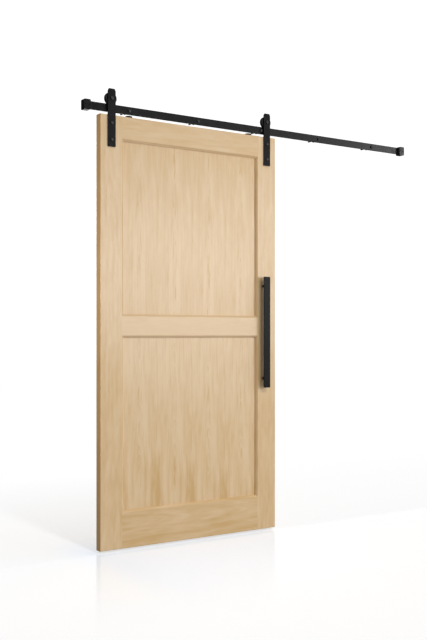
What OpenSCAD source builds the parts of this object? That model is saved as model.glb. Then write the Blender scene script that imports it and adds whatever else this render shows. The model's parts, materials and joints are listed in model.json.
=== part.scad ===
// Sliding barn door: a framed and panelled wooden leaf that hangs on two straps
// with grooved wheels from a flat steel track held off the wall on spacers.
// Origin: middle of the track's fixing line, on the wall plane.
// +X runs along the track, -Y faces the room, +Z is up. Millimetres.

/* [Door leaf] */
// Width of the leaf
leaf_w = 1067; // [914:1:1219]
// Height of the leaf
leaf_h = 2134; // [2032:1:2438]
// Thickness of the leaf
leaf_t = 45; // [40:1:50]
// Width of each stile, with its moulded edge
stile_w = 129; // [110:1:150]
// Height of the top rail, with its moulded edge
top_rail_h = 121; // [100:1:150]
// Height of the middle rail, with both moulded edges
mid_rail_h = 116; // [90:1:150]
// Height of the bottom rail, with its moulded edge
bottom_rail_h = 188; // [150:1:240]
// Height of the middle rail's centre above the leaf's bottom
mid_rail_centre = 1100; // [950:1:1250]
// Thickness of the two flat panels
panel_t = 19; // [12:1:20]
// Width of the sloping moulded edge round each panel
moulding_w = 10; // [6:1:14]
// Depth of the sloping moulded edge
moulding_d = 8; // [5:1:9]
// Rounding of the leaf's outer edges
edge_r = 3; // [1:0.5:5]

/* [Track] */
// Length of the track, twice the leaf's width
track_len = 2134; // [1829:1:2438]
// Height of the flat bar
track_h = 40; // [38:1:42]
// Thickness of the flat bar
track_t = 6; // [5:0.5:8]
// Distance from the wall to the back of the track
track_standoff = 44; // [40:1:50]
// Distance between neighbouring wall bolts
bolt_pitch = 406.4; // [300:0.1:450]
// Number of wall bolts
bolt_count = 5; // [3:2:5]
// Gap between the track's lower edge and the leaf's top
track_gap = 13.5; // [12:0.5:16]
// Distance from the track's left end to the leaf's left edge
leaf_offset = 90; // [60:1:500]

/* [End stops] */
// Length of a stop block along the track
stop_l = 36; // [30:1:50]
// Depth of a stop block, front to back
stop_d = 34; // [30:1:36]
// Height of a stop block
stop_h = 50; // [48:1:60]
// Thickness of the rubber bumper
bumper_t = 6; // [4:1:10]

/* [Hangers] */
// Distance from each edge of the leaf to the middle of its strap
hanger_inset = 60; // [45:1:80]
// Width of a strap
strap_w = 42; // [40:1:50]
// Thickness of a strap
strap_t = 6; // [5:0.5:8]
// Length of a strap
strap_len = 284; // [270:1:300]
// How far a strap reaches down over the leaf
strap_drop = 157; // [150:1:170]
// Gap between the track's face and the back of a strap
strap_gap = 8; // [7.5:0.5:12]

/* [Wheels] */
// Diameter of a wheel over its flanges
wheel_d = 62; // [58:1:66]
// Diameter at the bottom of a wheel's groove
groove_d = 54; // [50:1:56]
// Thickness of a wheel
wheel_t = 18; // [16:1:20]
// Gap left between a wheel and the track's top edge
roll_gap = 0.3; // [0.1:0.1:0.5]

/* [Handle] */
// Length of the handle's flat bar
handle_len = 600; // [450:1:750]
// Width of the handle's flat bar
handle_w = 40; // [30:1:45]
// Thickness of the handle's flat bar
handle_t = 8; // [6:1:10]
// Room for fingers between the bar and the leaf
finger_gap = 27; // [25:1:35]
// Distance from the leaf's right edge to the middle of the handle
handle_inset = 80; // [60:1:85]
// Height of the handle's middle above the leaf's bottom
handle_z = 1070; // [900:1:1200]

/* [Hidden] */
$fn = 64;
// How far a cutter runs past what it cuts, and one piece of a solid into the next
eps = 0.5;

// Colours
wood = [0.86, 0.75, 0.60];
panel_wood = [0.88, 0.78, 0.64];
dowel_wood = [0.80, 0.68, 0.50];
black_steel = [0.13, 0.13, 0.14];
black_bolt = [0.18, 0.18, 0.19];
wheel_black = [0.10, 0.10, 0.11];
rubber_black = [0.07, 0.07, 0.07];
bearing_steel = [0.70, 0.71, 0.73];

// Places across the wall, from the wall plane towards the room (-Y)
track_back_y = -track_standoff;
track_front_y = track_back_y - track_t;
track_mid_y = track_back_y - track_t / 2;
leaf_front_y = track_front_y - strap_gap;
leaf_back_y = leaf_front_y + leaf_t;
strap_front_y = leaf_front_y - strap_t;

// Places along the track and up the wall
leaf_x = -track_len / 2 + leaf_offset;
leaf_top_z = -track_h / 2 - track_gap;
leaf_z = leaf_top_z - leaf_h;
wheel_z = track_h / 2 + roll_gap + groove_d / 2;
hanger_x = [leaf_x + hanger_inset, leaf_x + leaf_w - hanger_inset];
bolt_x = [for (i = [0 : bolt_count - 1]) (i - (bolt_count - 1) / 2) * bolt_pitch];

// Panel grooves
recess = (leaf_t - panel_t) / 2;
groove_depth = 12;
panel_play = 1.5;
stile_groove_x = stile_w - groove_depth;
mid_rail_z = mid_rail_centre - mid_rail_h / 2;
top_rail_z = leaf_h - top_rail_h;

// Dowels of the frame joints: two at each rail end
dowel_d = 10;
dowel_in_stile = 40;
dowel_in_rail = 40;
dowel_spread = 30;
rail_centres = [
    leaf_h - top_rail_h / 2, mid_rail_centre, bottom_rail_h / 2
];

// Strap outline
strap_bottom_z = leaf_top_z - strap_drop;
strap_clip_w = 5;
strap_clip_h = 12;
strap_round = 3;
strap_shoulder_round = 6;
strap_bolt_drops = [40, 122];

// Fasteners: diameter, width across flats, head height
lag_d = 8;
lag_shank_d = 7.5;
lag_hole_d = 8.5;
lag_af = 13;
lag_head_h = 5;
lag_washer_d = 18;
lag_washer_t = 1.2;
lag_in_wall = 50;
lag_point = 8;
lag_tip_d = 1;
spacer_d = 22;
strap_bolt_d = 8;
strap_bolt_af = 13;
strap_bolt_head = 5.3;
strap_washer_d = 22;
strap_washer_t = 1.6;
strap_nut_h = 6.5;
bolt_tip = 1.5;
axle_d = 10;
axle_af = 16;
axle_head_h = 6.4;
axle_washer_d = 20;
axle_washer_t = 2;
axle_nut_h = 8.4;

// Deep-groove bearing of a wheel
bearing_od = 26;
bearing_w = 8;
inner_ring_d = 14;
outer_ring_d = 21.6;
ball_d = 4.6;
ball_path_d = 17.8;
ball_count = 8;
race_r = 2.4;
wheel_shoulder_d = 22;

// Wheel section
track_slot_w = track_t + 2;
flange_edge = 2.5;
rim_chamfer = 1;
web_recess = 2;
web_inner_d = 32;
web_outer_d = 46;

// Anti-jump discs
disc_d = 36;
disc_h = 9;
disc_edge = 1.5;
disc_inset = 168;
disc_screw_d = 5;
disc_screw_head_d = 10;
disc_screw_len = 45;
cross_l = 5;
cross_w = 1;
cross_depth = 1.5;

// Stop block details
stop_round = 5;
stop_slot_play = 0.2;
stop_screw_d = 6;
stop_screw_len = 10;
stop_screw_pitch = 20;
stop_socket_af = 3;
stop_socket_depth = 3.5;
bumper_h = 34;
bumper_w = 12;
bumper_round = 2;
bumper_setback = 1;
bumper_front_y = track_mid_y - stop_d / 2 + bumper_setback;

// Handle details
handle_round = 4;
standoff_d = 16;
standoff_reach = 250;
handle_bolt_d = 6;
handle_bolt_head_d = 12;
handle_bolt_head_h = 4;
handle_socket_af = 4;
handle_socket_depth = 2.5;
handle_washer_d = 16;
handle_washer_t = 1.5;
handle_thread = 6;
handle_x = leaf_x + leaf_w - handle_inset;
handle_mid_z = leaf_z + handle_z;
standoff_z = [handle_mid_z + standoff_reach, handle_mid_z - standoff_reach];

// ---------- outlines ----------

function unit(v) = v / norm(v);

// Points of the arc that rounds corner b between a and c
function corner_arc(a, b, c, r, steps) =
    let (
        u = unit(a - b),
        v = unit(c - b),
        half = acos(u * v) / 2,
        centre = b + unit(u + v) * r / sin(half),
        start = b + u * r / tan(half),
        stop = b + v * r / tan(half),
        a0 = atan2(start.y - centre.y, start.x - centre.x),
        a1 = atan2(stop.y - centre.y, stop.x - centre.x),
        turn = ((a1 - a0 + 540) % 360) - 180
    )
    [for (i = [0 : steps]) centre + r * [cos(a0 + turn * i / steps), sin(a0 + turn * i / steps)]];

// A polygon's points with each corner rounded to its own radius; 0 keeps it sharp
function rounded(points, radii, steps = 6) =
    let (n = len(points))
    [for (i = [0 : n - 1]) each (
        radii[i] == 0 ? [points[i]]
        : corner_arc(points[(i + n - 1) % n], points[i], points[(i + 1) % n], radii[i], steps)
    )];

function rectangle(w, h) = [[-w / 2, -h / 2], [w / 2, -h / 2], [w / 2, h / 2], [-w / 2, h / 2]];

// A moulded, grooved board edge at x = w, from the front face (y = 0) to the back
function moulded_edge(w) = [
    [w - moulding_w, 0], [w, moulding_d], [w, recess],
    [w - groove_depth, recess], [w - groove_depth, leaf_t - recess],
    [w, leaf_t - recess], [w, leaf_t - moulding_d], [w - moulding_w, leaf_t]
];

// The same edge mirrored at x = 0, from the back face to the front
function moulded_edge_left() = [
    for (i = [7 : -1 : 0]) let (p = moulded_edge(0)[i]) [-p.x, p.y]
];

// ---------- placing ----------

// Leaf coordinates: x from the left edge, y from the front face, z from the bottom
module in_leaf() {
    translate([leaf_x, leaf_front_y, leaf_z]) children();
}

// An outline drawn as (depth, height), swept along +X
module along_x(length) {
    rotate([90, 0, 90]) linear_extrude(length) children();
}

// A round bar along +Y
module rod_y(d, length) {
    rotate([-90, 0, 0]) cylinder(d = d, h = length);
}

// A hexagon bar along +Y, sized across its flats
module hex_y(af, length) {
    rotate([-90, 0, 0]) rotate([0, 0, 30]) cylinder(d = af / cos(30), h = length, $fn = 6);
}

// A ring along +Y
module ring_y(od, id, length) {
    difference() {
        rod_y(od, length);
        translate([0, -eps, 0]) rod_y(id, length + 2 * eps);
    }
}

// A plate in the XZ plane, with rounded corners, that grows along +Y
module plate_y(points, radii, t) {
    translate([0, t, 0]) rotate([90, 0, 0]) linear_extrude(t) polygon(rounded(points, radii));
}

// What is planed off a long square edge, to round it
module edge_cutter(length) {
    difference() {
        translate([-eps, -eps, 0]) cube([edge_r + eps, edge_r + eps, length]);
        translate([edge_r, edge_r, -eps]) cylinder(r = edge_r, h = length + 2 * eps);
    }
}

// Rounds the four long edges across the top and bottom of the leaf
module rounded_ends() {
    difference() {
        children();
        for (top = [0, 1], back = [0, 1])
            translate([0, back * leaf_t, top * leaf_h])
                mirror([0, back, 0]) mirror([0, 0, top])
                    translate([-eps, 0, 0]) rotate([90, 0, 90]) edge_cutter(leaf_w + 2 * eps);
    }
}

// ---------- track ----------

module track_bar() {
    color(black_steel) difference() {
        translate([-track_len / 2, track_front_y, -track_h / 2]) cube([track_len, track_t, track_h]);
        for (x = bolt_x) translate([x, track_front_y - eps, 0]) rod_y(lag_hole_d, track_t + 2 * eps);
    }
}

module wall_spacers() {
    color(black_steel) for (x = bolt_x)
        translate([x, track_back_y, 0]) ring_y(spacer_d, lag_hole_d, track_standoff);
}

// Its shank is thinner up to the wall, and its threaded length is full size inside it
module lag_bolt() {
    head_y = track_front_y - lag_washer_t;
    union() {
        translate([0, head_y - lag_head_h, 0]) hex_y(lag_af, lag_head_h);
        translate([0, head_y - eps, 0]) rod_y(lag_shank_d, 2 * eps - head_y);
        rod_y(lag_d, lag_in_wall - lag_point);
        translate([0, lag_in_wall - lag_point, 0]) rotate([-90, 0, 0])
            cylinder(d1 = lag_d, d2 = lag_tip_d, h = lag_point);
    }
}

module lag_bolts() {
    color(black_bolt) for (x = bolt_x) translate([x, 0, 0]) lag_bolt();
}

module lag_washers() {
    color(black_bolt) for (x = bolt_x)
        translate([x, track_front_y - lag_washer_t, 0]) ring_y(lag_washer_d, lag_hole_d, lag_washer_t);
}

// Stop block at the left end of the track; the right one is its mirror image
module end_stop() {
    front_y = track_mid_y - stop_d / 2;
    difference() {
        translate([-track_len / 2 + stop_l / 2, front_y, 0])
            plate_y(rectangle(stop_l, stop_h), [for (i = [0 : 3]) stop_round], stop_d);
        translate([-track_len / 2 - eps, track_front_y - stop_slot_play, -track_h / 2 - stop_slot_play])
            cube([stop_l + 2 * eps, track_t + 2 * stop_slot_play, track_h + 2 * stop_slot_play]);
        for (side = [-1, 1])
            translate([-track_len / 2 + stop_l / 2 + side * stop_screw_pitch / 2, front_y - eps, 0])
                rod_y(stop_screw_d, stop_d / 2);
    }
}

module end_stop_left() {
    color(black_steel) end_stop();
}

module end_stop_right() {
    color(black_steel) mirror([1, 0, 0]) end_stop();
}

module stop_bumpers() {
    color(rubber_black) for (side = [0, 1]) mirror([side, 0, 0])
        translate([-track_len / 2 + stop_l, bumper_front_y, 0])
            rotate([90, 0, 90]) linear_extrude(bumper_t)
                translate([bumper_w / 2, 0])
                    polygon(rounded(rectangle(bumper_w, bumper_h), [for (i = [0 : 3]) bumper_round]));
}

// Headless screws, each with a hexagon socket, that clamp a stop to the track
module stop_screw() {
    outer_y = track_front_y - stop_slot_play - stop_screw_len;
    difference() {
        translate([0, outer_y, 0]) rod_y(stop_screw_d, stop_screw_len + stop_slot_play);
        translate([0, outer_y - eps, 0]) hex_y(stop_socket_af, stop_socket_depth + eps);
    }
}

module stop_screws() {
    color(black_bolt) for (end = [-1, 1], side = [-1, 1])
        translate([end * (track_len / 2 - stop_l / 2) + side * stop_screw_pitch / 2, 0, 0]) stop_screw();
}

// ---------- leaf ----------

// Left stile in leaf coordinates, without its dowel holes
module stile_blank() {
    linear_extrude(leaf_h) polygon(rounded(
        concat([[0, 0]], moulded_edge(stile_w), [[0, leaf_t]]),
        [edge_r, 0, 0, 0, 0, 0, 0, 0, 0, edge_r]
    ));
}

// The two dowels that join every rail to the left stile
module dowels_left() {
    for (z = rail_centres, side = [-1, 1])
        translate([stile_groove_x - dowel_in_stile, leaf_t / 2, z + side * dowel_spread])
            rotate([0, 90, 0]) cylinder(d = dowel_d, h = dowel_in_stile + dowel_in_rail);
}

module both_sides() {
    children();
    translate([leaf_w, 0, 0]) mirror([1, 0, 0]) children();
}

// Holes for the strap bolts, in leaf coordinates
module strap_bolt_holes() {
    for (x = hanger_x, drop = strap_bolt_drops)
        translate([x - leaf_x, -eps, leaf_h - drop]) rod_y(strap_bolt_d, leaf_t + 2 * eps);
}

module handle_bolt_holes() {
    for (z = standoff_z)
        translate([handle_x - leaf_x, -eps, z - leaf_z]) rod_y(handle_bolt_d, leaf_t + 2 * eps);
}

module left_stile() {
    color(wood) in_leaf() difference() {
        rounded_ends() stile_blank();
        dowels_left();
        strap_bolt_holes();
    }
}

module right_stile() {
    color(wood) in_leaf() difference() {
        rounded_ends() translate([leaf_w, 0, 0]) mirror([1, 0, 0]) stile_blank();
        both_sides() dowels_left();
        strap_bolt_holes();
        handle_bolt_holes();
    }
}

// Coped rail: its ends fit round the stiles' moulding and into their grooves
module rail(outline, z) {
    difference() {
        rounded_ends() translate([stile_groove_x, 0, z])
            along_x(leaf_w - 2 * stile_groove_x) polygon(outline);
        both_sides() stile_blank();
        both_sides() dowels_left();
    }
}

// Outlines as (depth, height), from the moulded edges drawn as (height, depth)
function upright(points) = [for (i = [len(points) - 1 : -1 : 0]) [points[i].y, points[i].x]];

module top_rail() {
    color(wood) in_leaf() difference() {
        rail(upright(concat(moulded_edge_left(), [[top_rail_h, 0], [top_rail_h, leaf_t]])), top_rail_z);
        disc_screw_holes();
    }
}

module mid_rail() {
    color(wood) in_leaf()
        rail(upright(concat(moulded_edge_left(), moulded_edge(mid_rail_h))), mid_rail_z);
}

module bottom_rail() {
    color(wood) in_leaf()
        rail(upright(concat([[0, leaf_t], [0, 0]], moulded_edge(bottom_rail_h))), 0);
}

module panel(low_z, high_z) {
    translate([stile_groove_x + panel_play, recess, low_z - groove_depth + panel_play])
        cube([
            leaf_w - 2 * (stile_groove_x + panel_play), panel_t,
            high_z - low_z + 2 * (groove_depth - panel_play)
        ]);
}

module upper_panel() {
    color(panel_wood) in_leaf() panel(mid_rail_z + mid_rail_h, top_rail_z);
}

module lower_panel() {
    color(panel_wood) in_leaf() panel(bottom_rail_h, mid_rail_z);
}

module rail_dowels() {
    color(dowel_wood) in_leaf() both_sides() dowels_left();
}

// ---------- hangers ----------

module strap(x) {
    half = strap_w / 2;
    outline = [
        [-half, 0], [half, 0], [half, strap_len - strap_clip_h], [half - strap_clip_w, strap_len],
        [strap_clip_w - half, strap_len], [-half, strap_len - strap_clip_h]
    ];
    radii = [
        strap_round, strap_round, strap_shoulder_round,
        strap_round, strap_round, strap_shoulder_round
    ];
    color(black_steel) difference() {
        translate([x, strap_front_y, strap_bottom_z]) plate_y(outline, radii, strap_t);
        translate([x, strap_front_y - eps, wheel_z]) rod_y(axle_d, strap_t + 2 * eps);
        for (drop = strap_bolt_drops)
            translate([x, strap_front_y - eps, leaf_top_z - drop]) rod_y(strap_bolt_d, strap_t + 2 * eps);
    }
}

module left_strap() {
    strap(hanger_x[0]);
}

module right_strap() {
    strap(hanger_x[1]);
}

module at_strap_bolts() {
    for (x = hanger_x, drop = strap_bolt_drops) translate([x, 0, leaf_top_z - drop]) children();
}

module strap_bolts() {
    end_y = leaf_back_y + strap_washer_t + strap_nut_h + bolt_tip;
    color(black_bolt) at_strap_bolts() union() {
        translate([0, strap_front_y - strap_bolt_head, 0]) hex_y(strap_bolt_af, strap_bolt_head);
        translate([0, strap_front_y - eps, 0]) rod_y(strap_bolt_d, end_y - strap_front_y + eps);
    }
}

module strap_washers() {
    color(black_bolt) at_strap_bolts()
        translate([0, leaf_back_y, 0]) ring_y(strap_washer_d, strap_bolt_d, strap_washer_t);
}

module strap_nuts() {
    color(black_bolt) at_strap_bolts() translate([0, leaf_back_y + strap_washer_t, 0]) difference() {
        hex_y(strap_bolt_af, strap_nut_h);
        translate([0, -eps, 0]) rod_y(strap_bolt_d, strap_nut_h + 2 * eps);
    }
}

module at_axles() {
    for (x = hanger_x) translate([x, 0, wheel_z]) children();
}

bearing_front_y = track_mid_y - bearing_w / 2;
bearing_back_y = track_mid_y + bearing_w / 2;
rear_bush_end_y = bearing_back_y + (bearing_front_y - leaf_front_y);

module axle_bolts() {
    end_y = rear_bush_end_y + axle_washer_t + axle_nut_h + bolt_tip;
    color(black_bolt) at_axles() union() {
        translate([0, strap_front_y - axle_head_h, 0]) hex_y(axle_af, axle_head_h);
        translate([0, strap_front_y - eps, 0]) rod_y(axle_d, end_y - strap_front_y + eps);
    }
}

// Bushes that clamp the bearing's inner ring between the strap and the nut
module axle_bushes() {
    color(bearing_steel) at_axles() {
        translate([0, leaf_front_y, 0]) ring_y(inner_ring_d, axle_d, bearing_front_y - leaf_front_y);
        translate([0, bearing_back_y, 0]) ring_y(inner_ring_d, axle_d, rear_bush_end_y - bearing_back_y);
    }
}

module axle_washers() {
    color(black_bolt) at_axles()
        translate([0, rear_bush_end_y, 0]) ring_y(axle_washer_d, axle_d, axle_washer_t);
}

module axle_nuts() {
    color(black_bolt) at_axles() translate([0, rear_bush_end_y + axle_washer_t, 0]) difference() {
        hex_y(axle_af, axle_nut_h);
        translate([0, -eps, 0]) rod_y(axle_d, axle_nut_h + 2 * eps);
    }
}

// ---------- wheels ----------

// Turns a half section, drawn as (radius, along the axle), about the axle
module turned_y() {
    rotate([-90, 0, 0]) rotate_extrude() children();
}

module ball_race() {
    turned_y() translate([ball_path_d / 2, 0]) circle(r = race_r, $fn = 32);
}

module bearing_inner_rings() {
    color(bearing_steel) at_axles() translate([0, track_mid_y, 0]) difference() {
        translate([0, -bearing_w / 2, 0]) ring_y(inner_ring_d, axle_d, bearing_w);
        ball_race();
    }
}

module bearing_ring(x) {
    color(bearing_steel) translate([x, track_mid_y, wheel_z]) difference() {
        translate([0, -bearing_w / 2, 0]) ring_y(bearing_od, outer_ring_d, bearing_w);
        ball_race();
    }
}

module bearing_balls(x) {
    color(bearing_steel) translate([x, track_mid_y, wheel_z])
        for (i = [0 : ball_count - 1])
            rotate([0, i * 360 / ball_count, 0]) translate([ball_path_d / 2, 0, 0]) sphere(d = ball_d, $fn = 32);
}

// Grooved wheel: flanges each side of the track, a web sunk on both faces, a bearing seat
module wheel(x) {
    half = wheel_t / 2;
    rim = wheel_d / 2;
    floor_r = groove_d / 2;
    slot = track_slot_w / 2;
    color(wheel_black) translate([x, track_mid_y, wheel_z]) turned_y() polygon([
        [wheel_shoulder_d / 2, -half], [web_inner_d / 2, -half],
        [web_inner_d / 2, web_recess - half], [web_outer_d / 2, web_recess - half],
        [web_outer_d / 2, -half], [rim - rim_chamfer, -half], [rim, rim_chamfer - half],
        [rim, -slot - flange_edge / 2], [floor_r, -slot], [floor_r, slot],
        [rim, slot + flange_edge / 2], [rim, half - rim_chamfer], [rim - rim_chamfer, half],
        [web_outer_d / 2, half], [web_outer_d / 2, half - web_recess],
        [web_inner_d / 2, half - web_recess], [web_inner_d / 2, half],
        [bearing_od / 2, half], [bearing_od / 2, -bearing_w / 2],
        [wheel_shoulder_d / 2, -bearing_w / 2]
    ]);
}

module left_wheel() {
    wheel(hanger_x[0]);
}

module right_wheel() {
    wheel(hanger_x[1]);
}

module left_bearing_ring() {
    bearing_ring(hanger_x[0]);
}

module right_bearing_ring() {
    bearing_ring(hanger_x[1]);
}

module left_bearing_balls() {
    bearing_balls(hanger_x[0]);
}

module right_bearing_balls() {
    bearing_balls(hanger_x[1]);
}

// ---------- anti-jump discs ----------

module at_discs() {
    for (x = [disc_inset, leaf_w - disc_inset]) translate([x, leaf_t / 2, leaf_h]) children();
}

module disc_screw_holes() {
    at_discs() translate([0, 0, disc_h - disc_screw_len]) cylinder(d = disc_screw_d, h = disc_screw_len);
}

module anti_jump_discs() {
    color(wheel_black) in_leaf() at_discs() difference() {
        rotate_extrude() polygon([
            [0, 0], [disc_d / 2 - disc_edge, 0], [disc_d / 2, disc_edge],
            [disc_d / 2, disc_h - disc_edge], [disc_d / 2 - disc_edge, disc_h], [0, disc_h]
        ]);
        translate([0, 0, -eps]) cylinder(d = disc_screw_d, h = disc_h + 2 * eps);
        translate([0, 0, disc_h - (disc_screw_head_d - disc_screw_d) / 2])
            cylinder(d1 = disc_screw_d, d2 = disc_screw_head_d, h = (disc_screw_head_d - disc_screw_d) / 2);
    }
}

// Countersunk screw with a cross recess
module disc_screws() {
    head_h = (disc_screw_head_d - disc_screw_d) / 2;
    color(black_bolt) in_leaf() at_discs() difference() {
        union() {
            translate([0, 0, disc_h - disc_screw_len]) cylinder(d = disc_screw_d, h = disc_screw_len - head_h);
            translate([0, 0, disc_h - head_h]) cylinder(d1 = disc_screw_d, d2 = disc_screw_head_d, h = head_h);
        }
        for (turn = [0, 90]) rotate([0, 0, turn])
            translate([-cross_l / 2, -cross_w / 2, disc_h - cross_depth])
                cube([cross_l, cross_w, cross_depth + eps]);
    }
}

// ---------- handle ----------

handle_front_y = leaf_front_y - finger_gap - handle_t;

module handle_bar() {
    color(black_steel) difference() {
        translate([handle_x, handle_front_y, handle_mid_z])
            plate_y(rectangle(handle_w, handle_len), [for (i = [0 : 3]) handle_round], handle_t);
        for (z = standoff_z)
            translate([handle_x, leaf_front_y - finger_gap - handle_thread, z])
                rod_y(handle_bolt_d, handle_thread + eps);
    }
}

module standoff(z) {
    color(black_steel) translate([handle_x, leaf_front_y - finger_gap, z])
        ring_y(standoff_d, handle_bolt_d, finger_gap);
}

module upper_standoff() {
    standoff(standoff_z[0]);
}

module lower_standoff() {
    standoff(standoff_z[1]);
}

// Bolts driven from the back of the leaf into the bar, with hexagon sockets
module handle_bolts() {
    tip_y = leaf_front_y - finger_gap - handle_thread;
    head_y = leaf_back_y + handle_washer_t;
    color(black_bolt) for (z = standoff_z) translate([handle_x, 0, z]) difference() {
        union() {
            translate([0, tip_y, 0]) rod_y(handle_bolt_d, head_y - tip_y);
            translate([0, head_y, 0]) rod_y(handle_bolt_head_d, handle_bolt_head_h);
        }
        translate([0, head_y + handle_bolt_head_h - handle_socket_depth, 0])
            hex_y(handle_socket_af, handle_socket_depth + eps);
    }
}

module handle_washers() {
    color(black_bolt) for (z = standoff_z)
        translate([handle_x, leaf_back_y, z]) ring_y(handle_washer_d, handle_bolt_d, handle_washer_t);
}

track_bar();
wall_spacers();
lag_bolts();
lag_washers();
end_stop_left();
end_stop_right();
stop_bumpers();
stop_screws();
left_stile();
right_stile();
top_rail();
mid_rail();
bottom_rail();
upper_panel();
lower_panel();
rail_dowels();
left_strap();
right_strap();
strap_bolts();
strap_washers();
strap_nuts();
axle_bolts();
axle_bushes();
axle_washers();
axle_nuts();
bearing_inner_rings();
anti_jump_discs();
disc_screws();
handle_bar();
upper_standoff();
lower_standoff();
handle_bolts();
handle_washers();
left_wheel();
left_bearing_ring();
left_bearing_balls();
right_wheel();
right_bearing_ring();
right_bearing_balls();
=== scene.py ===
"""Finishes and fittings of a sliding barn door: a panelled wooden leaf that hangs on two
straps with grooved wheels from a flat black track with end stops.

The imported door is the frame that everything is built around. +X runs along the track,
-Y faces the room and +Z is up. Lengths are in metres, and MM turns millimetres into them.
"""

import json
import math
from contextlib import contextmanager

import bmesh
import bpy
from bpy.props import FloatProperty, FloatVectorProperty, PointerProperty
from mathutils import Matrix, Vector

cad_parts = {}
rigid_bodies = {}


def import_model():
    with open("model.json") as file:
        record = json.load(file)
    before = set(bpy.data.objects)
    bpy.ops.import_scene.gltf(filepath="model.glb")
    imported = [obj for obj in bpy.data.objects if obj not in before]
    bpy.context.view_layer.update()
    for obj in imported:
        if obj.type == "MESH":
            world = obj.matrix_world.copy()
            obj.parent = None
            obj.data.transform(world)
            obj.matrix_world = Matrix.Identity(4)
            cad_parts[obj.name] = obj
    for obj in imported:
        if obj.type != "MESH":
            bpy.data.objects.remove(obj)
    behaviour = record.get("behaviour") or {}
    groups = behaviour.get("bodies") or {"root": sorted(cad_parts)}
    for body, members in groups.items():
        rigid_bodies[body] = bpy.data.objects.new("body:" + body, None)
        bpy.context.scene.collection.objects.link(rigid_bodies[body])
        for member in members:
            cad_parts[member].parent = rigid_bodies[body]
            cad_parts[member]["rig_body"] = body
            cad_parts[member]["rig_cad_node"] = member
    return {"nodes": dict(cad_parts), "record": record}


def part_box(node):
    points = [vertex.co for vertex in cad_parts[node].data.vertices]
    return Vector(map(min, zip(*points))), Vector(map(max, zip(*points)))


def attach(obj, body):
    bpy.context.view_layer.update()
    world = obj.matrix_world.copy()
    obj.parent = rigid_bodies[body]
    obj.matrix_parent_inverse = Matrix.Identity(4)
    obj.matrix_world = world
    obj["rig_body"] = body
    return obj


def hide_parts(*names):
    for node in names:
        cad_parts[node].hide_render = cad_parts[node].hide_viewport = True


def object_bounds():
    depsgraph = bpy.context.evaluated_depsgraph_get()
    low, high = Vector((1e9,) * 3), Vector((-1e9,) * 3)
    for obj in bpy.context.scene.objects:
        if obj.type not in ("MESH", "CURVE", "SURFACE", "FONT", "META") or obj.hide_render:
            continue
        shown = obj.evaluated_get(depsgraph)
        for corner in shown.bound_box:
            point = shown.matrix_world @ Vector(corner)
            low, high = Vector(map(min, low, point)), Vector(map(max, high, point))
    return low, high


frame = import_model()
CAD_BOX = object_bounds()

bl_info = {
    "name": "Sliding Barn Door",
    "version": (1, 0, 0),
    "blender": (4, 5, 0),
    "location": "3D View > Sidebar > Barn Door",
    "description": "Builds the finishes and fittings of a panelled barn door on its track",
    "category": "Object",
}

MM = 0.001
FULL_TURN = 2 * math.pi
ALONG_Y = Vector((0, 1, 0))
ALONG_Z = Vector((0, 0, 1))
MERGE = 0.005 * MM
SMOOTH_ANGLE = math.radians(32)

record = frame["record"]
BODY_OF = {
    node: body for body, nodes in record["behaviour"]["bodies"].items() for node in nodes
}

LEAF_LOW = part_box("left_stile")[0]
LEAF_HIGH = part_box("right_stile")[1]
LEAF_MIDDLE = (LEAF_LOW + LEAF_HIGH) / 2


# ---------- settings ----------


def colour_setting(name, description, default):
    """A colour in the sidebar."""
    return FloatVectorProperty(
        name=name, description=description, subtype="COLOR", size=3, min=0, max=1, default=default
    )


def length_setting(name, description, default, low=0.1 * MM, high=10.0):
    """A length in the sidebar."""
    return FloatProperty(
        name=name, description=description, unit="LENGTH", min=low, max=high, default=default
    )


def power_setting(name, description, default):
    """A lamp's power in the sidebar."""
    return FloatProperty(name=name, description=description, unit="POWER", min=0, default=default)


def share_setting(name, description, default):
    """A share from none to all in the sidebar."""
    return FloatProperty(
        name=name, description=description, subtype="FACTOR", min=0, max=1, default=default
    )


def number_setting(name, description, default, low=0.0, high=10.0):
    """A plain number in the sidebar."""
    return FloatProperty(name=name, description=description, min=low, max=high, default=default)


class BarnDoorWood(bpy.types.PropertyGroup):
    """Colours and grain of the leaf."""

    pale: colour_setting("Pale wood", "Colour between the growth rings", (0.88, 0.640, 0.378))
    dark: colour_setting("Dark wood", "Colour of the late wood in each ring", (0.71, 0.448, 0.172))
    ring: length_setting(
        "Ring spacing", "Distance between growth rings", 5.5 * MM, 1 * MM, 20 * MM
    )
    veneer_leaves: number_setting("Veneer leaves", "How many leaves cover a panel", 4, 1, 8)
    satin: share_setting("Lacquer roughness", "How dull the clear lacquer is", 0.36)
    easing: length_setting(
        "Sanded edge", "Width of the sanded edges of stiles and rails", 0.6 * MM, high=1.5 * MM
    )


class BarnDoorSteel(bpy.types.PropertyGroup):
    """Colours and edges of the black fittings."""

    coat: colour_setting("Powder coat", "Colour of the coated steel", (0.0050, 0.0050, 0.0053))
    bolt: colour_setting("Fasteners", "Colour of bolts, nuts and washers", (0.014, 0.014, 0.015))
    nylon: colour_setting("Nylon", "Colour of wheels and anti-jump discs", (0.010, 0.010, 0.011))
    rubber: colour_setting("Rubber", "Colour of the bumpers", (0.009, 0.009, 0.009))
    bare: colour_setting("Bare steel", "Colour of the bearings and bushes", (0.56, 0.57, 0.58))
    easing: length_setting(
        "Broken edge", "Width of the broken edges of plates and bars", 0.8 * MM, high=2 * MM
    )


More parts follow.
